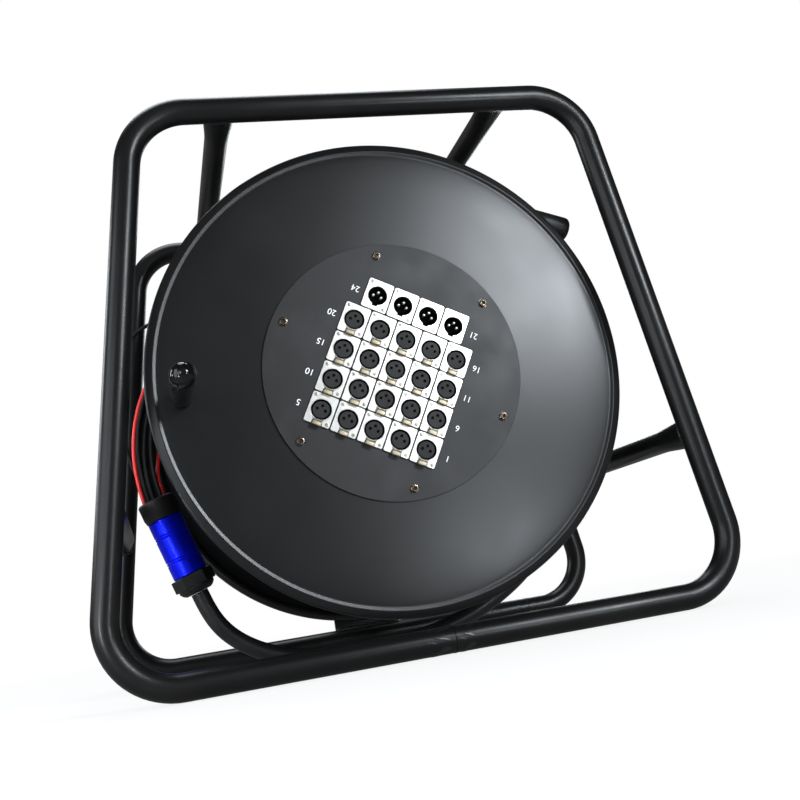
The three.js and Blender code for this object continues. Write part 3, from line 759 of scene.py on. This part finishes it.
def axle():
    bolt = [
        (0, HEAD_FRONT), *eased(HEAD_RADIUS, HEAD_FRONT, HEAD_BACK, CHAMFER), (SHAFT_RADIUS, HEAD_BACK),
        (SHAFT_RADIUS, SHOULDER_FRONT), *eased(SHOULDER_RADIUS, SHOULDER_FRONT, SHOULDER_BACK, CHAMFER),
        (THREAD_RADIUS, SHOULDER_BACK), (THREAD_RADIUS, AXLE_END - 1.1), (THREAD_RADIUS - 1, AXLE_END),
        (0, AXLE_END),
    ]
    nut = cut_plate([circle(NUT_RADIUS, 6), circle(NUT_BORE, 48)], NUT_THICKNESS, NUT_EDGE)
    washer = [
        (WASHER_BORE, WASHER_FRONT), *eased(WASHER_RADIUS, WASHER_FRONT, NUT_FRONT, 0.3),
        (WASHER_BORE, NUT_FRONT),
    ]
    shape = Shape().add(turned(bolt, 72), DRUM).add(nut, DRUM @ Matrix.Translation((0, 0, NUT_FRONT)))
    shape.add(turned(washer, 64), DRUM)
    piece("axle_bolt", shape, "stand", [STEEL], ["axle"], 20)


def hub():
    flange_front = WINDING_BACK - HUB_FLANGE_THICKNESS
    bore_edge = BUSH_BORE + 0.4
    bush = [
        (BUSH_BORE, BUSH_FRONT + 0.4), (bore_edge, BUSH_FRONT), (BUSH_RADIUS - BUSH_EDGE, BUSH_FRONT),
        (BUSH_RADIUS, BUSH_FRONT + BUSH_EDGE), (BUSH_RADIUS, flange_front),
        *eased(HUB_FLANGE_RADIUS, flange_front, WINDING_BACK, CHAMFER), (BUSH_RADIUS, WINDING_BACK),
        (BUSH_RADIUS, BUSH_BACK - BUSH_EDGE), (BUSH_RADIUS - BUSH_EDGE, BUSH_BACK), (bore_edge, BUSH_BACK),
        (BUSH_BORE, BUSH_BACK - 0.4),
    ]
    piece("axle_bush", Shape().add(turned(bush, 72), DRUM), "drum", [BRONZE], ["hub_bush"], 28)


axle()
hub()


# Drum

MOUTH_FRONT, MOUTH_BACK, MOUTH_EDGE = 105, 21.5, 0.4
BEAD, BEAD_CENTRE, BEAD_DEPTH = 5.5, 229.5, 4.5
BARREL_INNER, BARREL_OUTER = 124, 127
STUD_FRONT, STUD_NECK, STUD_RADIUS, STUD_FOOT_RADIUS = -47, 41.5, 5, 8.5
TURNS = 16
HELIX_RADIUS, FIRST_TURN, LAST_TURN = 198.5, WINDING_FRONT + 8.8, WINDING_BACK - 8.8


def flange_outline(mouth):
    """A sheet dished toward a groove and a flat rolled rim, as (radius, depth behind its front face)."""
    flat = [(mouth + MOUTH_EDGE, 0), (186, 0), (192, 0)]
    dish = [(198, 0.02), (204, 0.08), (210, 0.18), (216, 0.32), (220, 0.46), (222, 0.58), (223.3, 0.68)]
    groove = [(224, 0.7), (224.5, 0.64), (225.2, 0.39)]
    rise = [(227, -0.27), (227.5, -0.37), (227.8, -0.36), (228.3, -0.26)]
    edge = arc((233.16, 2.87), 2.2, -78.5, 0, 8)
    tuck = arc((BEAD_CENTRE, BEAD_DEPTH), BEAD, 15, 165, 16)
    back = [
        (222.1, SHEET + 1.1), (210, SHEET + 0.3), (192, SHEET), (mouth + MOUTH_EDGE, SHEET),
        (mouth, SHEET - MOUTH_EDGE), (mouth, MOUTH_EDGE),
    ]
    return [*flat, *dish, *groove, *rise, *edge, *tuck, *back]


def flange(name, outline, node):
    shape = Shape().add(turned(outline, 256), DRUM)
    piece(name, shape, "drum", [FLANGE_PAINT], [node], 40)


def drum():
    flange("front_cheek", [(r, DRUM_FRONT + y) for r, y in flange_outline(MOUTH_FRONT)], "front_flange")
    flange("rear_cheek", [(r, DRUM_BACK - y) for r, y in flange_outline(MOUTH_BACK)], "rear_flange")
    stud = [
        (0, STUD_FRONT), (STUD_RADIUS - 0.7, STUD_FRONT), (STUD_RADIUS, STUD_FRONT + 0.7),
        (STUD_RADIUS, STUD_NECK), (STUD_FOOT_RADIUS - 0.3, STUD_NECK), (STUD_FOOT_RADIUS, STUD_NECK + 0.3),
        (STUD_FOOT_RADIUS, DRUM_FRONT), (0, DRUM_FRONT),
    ]
    piece("handle_stud", Shape().add(turned(stud, 48), HANDLE), "drum", [STEEL], ())
    barrel = [
        (BARREL_INNER, WINDING_FRONT), (BARREL_OUTER, WINDING_FRONT),
        (BARREL_OUTER, WINDING_BACK), (BARREL_INNER, WINDING_BACK),
    ]
    shape = Shape().add(turned(barrel, 128), DRUM)
    piece("barrel", shape, "drum", [FLANGE_PAINT], ["drum_barrel"])


def wound_layers():
    """The cable beneath the outer layer, with a ridge for each turn."""
    steps, radius, roundness = 8, 188.2, 0.96
    ridges = TURNS + 1
    width = (WINDING_BACK - WINDING_FRONT) / ridges
    outline = [(BARREL_OUTER + GAP, WINDING_FRONT)]
    for ridge in range(ridges):
        for step in range(steps + 1):
            share = step / steps * 2 - 1
            dip = width / 2 * (1 - math.sqrt(max(0, 1 - (roundness * share) ** 2)))
            outline.append((radius - dip, WINDING_FRONT + width * (ridge + (share + 1) / 2)))
    outline.append((BARREL_OUTER + GAP, WINDING_BACK))
    shape = Shape().add(turned(outline, 96), DRUM)
    piece("wound_layers", shape, "drum", [JACKET], ["cable_layers"], 60)


def winding():
    """The outer layer of cable: one unbroken helix that wanders a little between its neighbours."""
    steps, slack, wander, wander_rate, clearance = 72, 0.5, 0.45, 0.37, 0.05
    count = TURNS * steps
    angles = [FULL_TURN * i / steps for i in range(count + 1)]
    centres, outward = [], []
    for i, angle in enumerate(angles):
        out = Vector((math.cos(angle), 0, math.sin(angle)))
        radius = HELIX_RADIUS - slack + ripple(angle, wander_rate, wander)
        depth = FIRST_TURN + (LAST_TURN - FIRST_TURN) * i / count
        centres.append(AXIS @ (out * radius + Vector((0, depth, 0))))
        outward.append(out)
    for at, angle, run in ((0, 0, -CABLE_DIAMETER), (count + 1, angles[-1], CABLE_DIAMETER)):
        along = Vector((-math.sin(angle), 0, math.cos(angle))) * run
        centres.insert(at, centres[min(at, count)] + along)
        outward.insert(at, outward[min(at, count)])
    shape = Shape().add(swept(centres, CABLE_DIAMETER / 2 - clearance, 16, outward=outward))
    piece("wound_cable", shape, "drum", [JACKET], ["cable_winding"], 60)


drum()
wound_layers()
winding()


# Handle

def handle():
    """A glossy grip that swells toward its domed end and turns on the stud."""
    foot, tip, straight_share = 41.2, -63.8, 0.86
    foot_radius, swell, swell_power = 9.5, 2.2, 0.8
    bore, bore_end = STUD_RADIUS + GAP, STUD_FRONT - GAP
    shoulder = foot - (foot - tip) * straight_share
    wall_foot = foot - 1
    side = [
        (foot_radius + swell * share ** swell_power, wall_foot + (shoulder - wall_foot) * share)
        for share in (0, 0.2, 0.4, 0.6, 0.8, 1)
    ]
    widest, height = foot_radius + swell, shoulder - tip
    angles = [math.pi / 36 * k for k in range(1, 18)]
    dome = [(widest * math.cos(a), shoulder - height * math.sin(a)) for a in angles]
    hollow = [(0, bore_end), (bore, bore_end), (bore, foot)]
    outline = [*hollow, (8.7, foot), (9.2, foot - 0.3), *side, *dome, (0, tip)]
    shape = Shape().add(turned(outline, 96), HANDLE)
    piece("grip", shape, "handle", [KNOB], ["crank_knob"], 60)


handle()


# Panel, sockets and print

PANEL_RADIUS, PANEL_HOLE, PANEL_EDGE = 127.5, 12.05, 0.3
PITCH_ACROSS, PITCH_UP = 26.8, 31.7
PLATE_WIDTH, PLATE_HEIGHT, PLATE_THICKNESS, PLATE_CORNER, PLATE_EDGE = 25.6, 30.5, 2, 2, 0.22
LIP_INNER, LIP_OUTER, LIP_TOP = 9.85, 10.55, 2.25
NOTCH_HALF = 5
KEY_HALF, KEY_REACH, MALE_BORE, MALE_FLOOR = 2.7, 11, 9.5, -13
CONTACTS = [(-4.05, 0), (4.05, 0), (0, 4.05)]
RIVETS = [(-9.5, 12.2), (9.5, -12.2)]
CAN_RADIUS, CAN_LENGTH = 11.75, 20
INSERT_RADIUS, INSERT_FLOOR, INSERT_LENGTH = 8.2, -9, 10.4
CONTACT_HOLE, CONTACT_INNER, CONTACT_OUTER = 1.4, 0.85, 1.3
TAB_WIDTH, TAB_ROUNDING, TAB_LEFT = 9.6, 1.5, -4.7


def sockets():
    """Number, place on the grid and kind of each socket: from the bottom row up, each from right to left."""
    for row, count in enumerate((5, 5, 5, 5, 4)):
        for column in range(count):
            x = PITCH_ACROSS * ((count - 1) / 2 - column)
            yield 5 * row + column + 1, x, PITCH_UP * (row - 2), count == 4


def female_outline():
    """The plate's edge, which runs round the bore through the latch's notch."""
    notch_top = -math.sqrt(LIP_OUTER ** 2 - NOTCH_HALF ** 2) - 0.5
    half_gap = math.degrees(math.asin(NOTCH_HALF / LIP_OUTER))
    edge = rounded_box(PLATE_WIDTH, PLATE_HEIGHT, PLATE_CORNER)
    corner = len(edge) * 3 // 4
    bore = arc((0, 0), LIP_OUTER, 270 - half_gap, half_gap - 90, 48)
    notch = [
        (-NOTCH_HALF, -PLATE_HEIGHT / 2), (-NOTCH_HALF, notch_top), *bore[1:-1],
        (NOTCH_HALF, notch_top), (NOTCH_HALF, -PLATE_HEIGHT / 2),
    ]
    return edge[:corner] + notch + edge[corner:]


def male_hole():
    """A round hole with a key slot below it."""
    slot_top = -math.sqrt(MALE_BORE ** 2 - KEY_HALF ** 2) - 0.1
    half_gap = math.degrees(math.asin(KEY_HALF / MALE_BORE))
    bore = arc((0, 0), MALE_BORE, half_gap - 90, 270 - half_gap, 48)
    slot = [(-KEY_HALF, slot_top), (-KEY_HALF, -KEY_REACH), (KEY_HALF, -KEY_REACH), (KEY_HALF, slot_top)]
    return [*bore, *slot]


FEMALE_PLATE = cut_plate([female_outline()], PLATE_THICKNESS, PLATE_EDGE)
MALE_PLATE = cut_plate(
    [rounded_box(PLATE_WIDTH, PLATE_HEIGHT, PLATE_CORNER), male_hole()], PLATE_THICKNESS, PLATE_EDGE,
)
FEMALE_CAN = turned([
    (0, INSERT_FLOOR - 0.1), (LIP_INNER + 0.05, INSERT_FLOOR - 0.1), (LIP_INNER + 0.05, PLATE_THICKNESS),
    (LIP_INNER + 0.2, LIP_TOP), (LIP_OUTER - 0.15, LIP_TOP), (LIP_OUTER, LIP_TOP - 0.15), (LIP_OUTER, 0),
    (CAN_RADIUS, 0), (CAN_RADIUS, -CAN_LENGTH), (0, -CAN_LENGTH),
], 64)
MALE_CAN = turned([
    (0, MALE_FLOOR), (MALE_BORE, MALE_FLOOR), (MALE_BORE, -0.6), (KEY_REACH + 0.2, -0.6),
    (KEY_REACH + 0.2, 0), (CAN_RADIUS, 0), (CAN_RADIUS, -CAN_LENGTH), (0, -CAN_LENGTH),
], 64)
# The liner round the insert takes the painted-shade black, so the gap between insert and lip shows as a
# painted shadow.
FEMALE_LINER = turned([
    (0, INSERT_FLOOR), (LIP_INNER, INSERT_FLOOR), (LIP_INNER, 1.8), (LIP_INNER - 0.12, 1.8),
    (LIP_INNER - 0.12, INSERT_FLOOR + 0.1), (0, INSERT_FLOOR + 0.1),
], 64)
INSERT_BLOCK = cut_plate(
    [circle(INSERT_RADIUS, 48), *(circle(CONTACT_HOLE, 20, c) for c in CONTACTS)], INSERT_LENGTH, 0.25,
)
CONTACT_TUBE = turned([
    (CONTACT_INNER, -8), (CONTACT_OUTER, -8), (CONTACT_OUTER, -2.4), (1.15, -2.2), (0.95, -2.2),
    (CONTACT_INNER, -2.4),
], 20)
# Pin shafts are drawn apart from the tips so that they take a darker colour, painted shade down the bore; the
# tips stay bright.
PIN_SHAFT = turned([(0, MALE_FLOOR), (1.2, MALE_FLOOR), (1.2, -2.2), (0, -2.2)], 24)
PIN = turned([(0, -2.3), (1.25, -2.3), (1.25, -0.4), *arc((0.35, -0.4), 0.9, 0, 80, 5), (0, 0.5)], 24)
RIVET = turned([
    (0, 2.3), (0.7, 2.28), (1.0, 2.1), (1.25, 1.98), (1.35, 2.12), (1.75, 2.05), (1.85, 1.9), (0, 1.9),
], 28)
TAB_SIDE = [(-16, 1.7), (-10.6, 1.7), (-10.6, 3.4), (-11.2, 4.5), (-12.9, 5.8), (-14, 6), (-16, 6)]
TAB = cut_plate([TAB_SIDE], TAB_WIDTH, TAB_ROUNDING)
TAB_PLACE = Matrix(((0, 0, 1, TAB_LEFT), (1, 0, 0, 0), (0, 1, 0, 0), (0, 0, 0, 1)))
# Looks by number: plate nickel, insert plastic (also painted shade on the pin shafts), contact gold,
# painted-shade black, pin tips, rivets.
SOCKET_LOOKS = [NICKEL, INSERT_AND_SHADE, GOLD, SHADE_AND_SEAM_BLACK, PIN_METAL, RIVET_METAL]


def at_grid(x, z, depth):
    return GRID @ Matrix.Translation((x, depth, z)) @ FACING_FRONT


def female_socket(place):
    # The liner (look 3) is painted shade: a black ring between the insert and the lip.
    shape = Shape().add(FEMALE_PLATE, place).add(FEMALE_CAN, place).add(FEMALE_LINER, place, 3)
    shape.add(INSERT_BLOCK, place @ Matrix.Translation((0, 0, INSERT_FLOOR)), 1)
    for across, up in CONTACTS:
        shape.add(CONTACT_TUBE, place @ Matrix.Translation((across, up, 0)), 2)
    return shape


def male_socket(place):
    # The bore's walls take the painted-shade black (look 3) and the pin shafts the insert's dark colour (look
    # 1), as painted shade; only the pin tips (look 4) are bright.
    shape = Shape().add(MALE_PLATE, place).add(MALE_CAN, place, 3)
    for across, up in CONTACTS:
        spot = place @ Matrix.Translation((across, up, 0))
        shape.add(PIN_SHAFT, spot, 1).add(PIN, spot, 4)
    return shape


def panel():
    holes = [circle(PANEL_HOLE, 36, (x, z)) for _, x, z, _ in sockets()]
    disc = cut_plate([circle(PANEL_RADIUS, 240), *holes], PANEL_THICKNESS, PANEL_EDGE)
    shape = Shape().add(disc, at_grid(0, 0, PANEL_FRONT + PANEL_THICKNESS))
    piece("panel_plate", shape, "drum", [PANEL_PAINT], ["panel_disc"], 18)
    for index, x, z, male in sockets():
        place = at_grid(x, z, PLATE_BACK)
        shape = male_socket(place) if male else female_socket(place)
        for across, up in RIVETS:
            shape.add(RIVET, place @ Matrix.Translation((across, up, 0)), 5)
        piece(f"jack_{index:02d}", shape, "drum", SOCKET_LOOKS, [f"socket_{index:02d}"], 20)
        if not male:
            tab = Shape().add(TAB, place @ TAB_PLACE)
            body, node = f"latch_body_{index:02d}", f"latch_{index:02d}"
            piece(f"tab_{index:02d}", tab, body, [LATCH_METAL], [node], 20)


def screws():
    """Six socket-head screws on washers, on a circle round the panel."""
    count, screw_circle, well, well_floor, well_top = 6, 116, 2.6, 1.1, 1.3
    key_radius, collar_height = 2.2, 1.6
    rim = [(2.4, 1.2), (2.4, 2.9), (2.7, 3.2), (3.2, 3.1), (3.75, 2.6), (3.9, 1.9), (3.9, 0.05), (2.4, 0.05)]
    washer = [(3.6, 0), (4.3, 0), (4.5, 0.2), (4.3, 0.45), (3.6, 0.45)]
    floor = [(0, well_floor), (well, well_floor), (well, 0.05), (0, 0.05)]
    collar = cut_plate([circle(well, 24), circle(key_radius, 6)], collar_height, 0.1)
    for i in range(count):
        angle = FULL_TURN * (1 / 4 + i / count)
        spot = (screw_circle * math.cos(angle), PANEL_FRONT, screw_circle * math.sin(angle))
        place = AXIS @ Matrix.Translation(spot) @ FACING_FRONT
        shape = Shape().add(turned(rim, 40), place).add(collar, place @ Matrix.Translation((0, 0, well_top)))
        # The floor of each key well takes the insert's dark colour (look 1) as painted shade.
        shape.add(turned(floor, 24), place, 1).add(turned(washer, 40), place)
        piece(f"screw_{i + 1}", shape, "drum", [SCREW_METAL, INSERT_AND_SHADE], (), 20)


def labels():
    """Channel numbers at both ends of each row, printed upside down to the grid."""
    height, margin, lowered = 6.1, 22.6, 0.4
    rows = [(5 * row + 1, 5 * row + 5, PITCH_UP * (row - 2), 2) for row in range(4)]
    rows.append((21, 24, 2 * PITCH_UP, 1.5))
    for right, left, z, half in rows:
        for text, side in ((right, 1), (left, -1)):
            x = side * (PITCH_ACROSS * half + margin)
            place = at_grid(x, z - lowered, PANEL_FRONT) @ Matrix.Rotation(math.pi, 4, "Z")
            piece(f"label_{text}", Shape().add(number(str(text), height), place), "drum", [PRINT])


panel()
screws()
labels()


# Plug on the outer end of the cable, which stands out between the cheeks

PLUG_DEPTH = 59.5
PLUG_FOOT = Vector((140.4, PLUG_DEPTH, AXIS_HEIGHT + 160.5))
PLUG_HEAD = Vector((216, PLUG_DEPTH, AXIS_HEIGHT + 133.2))


def plug():
    """A rubber plug with a ribbed boot, lying across the wound cable behind the front cheek."""
    radius, dome_start, rounding = 12.5, 73, 6
    boot = [
        (0, 0), (6.6, 0), (7.2, 0.8), (8, 6), (7, 6.6), (7, 8.4), (8.8, 9), (9.4, 15), (8.2, 15.6),
        (8.2, 17.4), (10.2, 18), (11, 24), (12.2, 27),
    ]
    body = [(radius, 30), (radius, dome_start), *arc((radius - rounding, dome_start), rounding, 0, 84, 10)]
    outline = [*boot, *body, (0, 79.4)]
    turn = (PLUG_HEAD - PLUG_FOOT).to_track_quat("Z", "Y").to_matrix().to_4x4()
    shape = Shape().add(turned(outline, 64), Matrix.Translation(PLUG_FOOT) @ turn)
    piece("cable_plug", shape, "drum", [FITTING])


plug()


# Floor and light, in metres

DRUM_MIDDLE = (0, 0.19, 0)
FLOOR_RADIUS, FLOOR_DROP = 9000, 0.2
CHEEK = (0.12, 0.04, 0.3)
WINDOW_LIGHT = (0.88, 0.94, 1.0)

# Lamps as their name, place, target, width, height, power in watts and, if not upright, their slant.
LAMPS = [
    ("key", (0.8, -1.25, 0.715), CHEEK, 0.26, 0.28, 12.2),
    ("high", (0.66, -1.25, 0.88), CHEEK, 0.26, 0.24, 5),
    ("low", (0.54, -1.25, 0.12), (0.1, 0.04, 0.1), 0.16, 0.14, 2.8),
    ("top", (-0.1, 0.55, 1.6), (0, 0.15, 0.2), 1.0, 0.8, 12),
    ("side", (-1.0, -0.9, 0.4), (-0.25, 0, 0.25), 0.8, 0.7, 4.8),
    ("left", (-0.85, -0.2, 0.4), (-0.27, 0, 0.3), 0.35, 0.8, 2.6),
    ("strip", (-0.567, -0.342, 0.068), (-0.22, 0.143, 0.14), 0.03, 0.11, 0.6, (-0.31, 0, 0.95)),
    ("back_left", (-1.3, 1.0, 0.8), (0, 0.3, 0.3), 0.5, 0.7, 7),
    ("back_right", (1.0, 1.9, 0.9), (0, 0.35, 0.3), 0.5, 0.6, 5),
]


def stage():
    """A pale floor that shows the object's shadow and fades into the white around it."""
    look = Look("floor", Roughness=0.9, Specular_IOR_Level=0.2, Base_Color=(0.9, 0.9, 0.9, 1))
    place = look.node("ShaderNodeTexCoord").outputs["Object"]
    centre = look.node("ShaderNodeVectorMath", {0: place, 1: DRUM_MIDDLE}, operation="DISTANCE")
    far = look.spread(centre.outputs["Value"], 0.5, 1.4, 0.8, 1.0)
    light = look.node("ShaderNodeLightPath").outputs
    level = look.spread(light["Is Glossy Ray"], 0, 1, 1.0, 0.15)
    glow = look.node("ShaderNodeEmission", {"Color": (1, 1, 1, 1), "Strength": level})
    seen = look.combined("MAXIMUM", light["Is Camera Ray"], light["Is Glossy Ray"])
    seen = look.combined("MAXIMUM", seen, light["Is Transmission Ray"])
    share = look.combined("MULTIPLY", seen, far)
    mixed = look.node("ShaderNodeMixShader", {0: share, 1: look.shader.outputs[0], 2: glow.outputs[0]})
    look.tree.links.new(mixed.outputs[0], look.tree.nodes["Material Output"].inputs["Surface"])
    shape = Shape().add(turned([(0, -FLOOR_DROP), (FLOOR_RADIUS, -FLOOR_DROP)], 64))
    linked("floor", mesh_from("floor", shape, [look.material]))


def softbox(name, place, target, width, height, power, upright=(0, 0, 1)):
    """A pale blue lamp, as the window light on the cheek is, with its height along a direction."""
    data = bpy.data.lights.new(name, "AREA")
    data.shape = "RECTANGLE"
    data.size, data.size_y, data.energy = width, height, power
    data.color = WINDOW_LIGHT
    place, target = Vector(place), Vector(target)
    back = (place - target).normalized()
    side = Vector(upright).cross(back).normalized()
    turn = Matrix((side, back.cross(side), back)).transposed().to_4x4()
    linked(name, data, Matrix.Translation(place) @ turn)


def room_lamps():
    """Small lamps left of the camera that show as light points on the domed grip."""
    size, power, distance = 0.14, 0.6, 1.2
    points = [(-0.19, 0.12), (-0.66, -0.05), (-0.53, -0.5), (-0.13, -0.55)]
    dome = Vector((HANDLE_X * MM, -0.06, (AXIS_HEIGHT - HANDLE_DROP) * MM))
    camera = scene.camera.matrix_world
    view = (camera.translation - dome).normalized()
    right, up = (camera.to_3x3() @ Vector(axis) for axis in ((1, 0, 0), (0, 1, 0)))
    for index, (across, rise) in enumerate(points):
        normal = right * across + up * rise + view * math.sqrt(1 - across ** 2 - rise ** 2)
        place = dome + (normal * 2 * normal.dot(view) - view) * distance
        softbox(f"room_{index + 1}", place, dome, size, size, power)


def sky():
    """White to the camera, grey before and behind the object in reflections, and soft as a light."""
    soft_level = 0.35
    world = bpy.data.worlds.new("sky")
    scene.world = world
    world.use_nodes = True
    graph = Graph(world.node_tree)
    light = graph.node("ShaderNodeLightPath").outputs
    way = graph.node("ShaderNodeTexCoord").outputs["Generated"]
    depth = graph.node("ShaderNodeSeparateXYZ", {0: way}).outputs["Y"]
    before = graph.spread(depth, -0.75, -0.45, 0.22, 0.05)
    behind = graph.spread(depth, 0.6, 1.0, 0, 0.12)
    room = graph.combined("ADD", before, behind)
    polished = graph.combined("MAXIMUM", light["Is Glossy Ray"], light["Is Transmission Ray"])
    level = graph.node("ShaderNodeMix", {"Factor": polished, "A": soft_level, "B": room}).outputs[0]
    level = graph.node("ShaderNodeMix", {"Factor": light["Is Camera Ray"], "A": level, "B": 1}).outputs[0]
    shade = world.node_tree.nodes["Background"]
    shade.inputs["Color"].default_value = (1, 1, 1, 1)
    world.node_tree.links.new(level, shade.inputs["Strength"])


stage()
sky()
for lamp in LAMPS:
    softbox(*lamp)
room_lamps()
scene.view_settings.view_transform = "Standard"
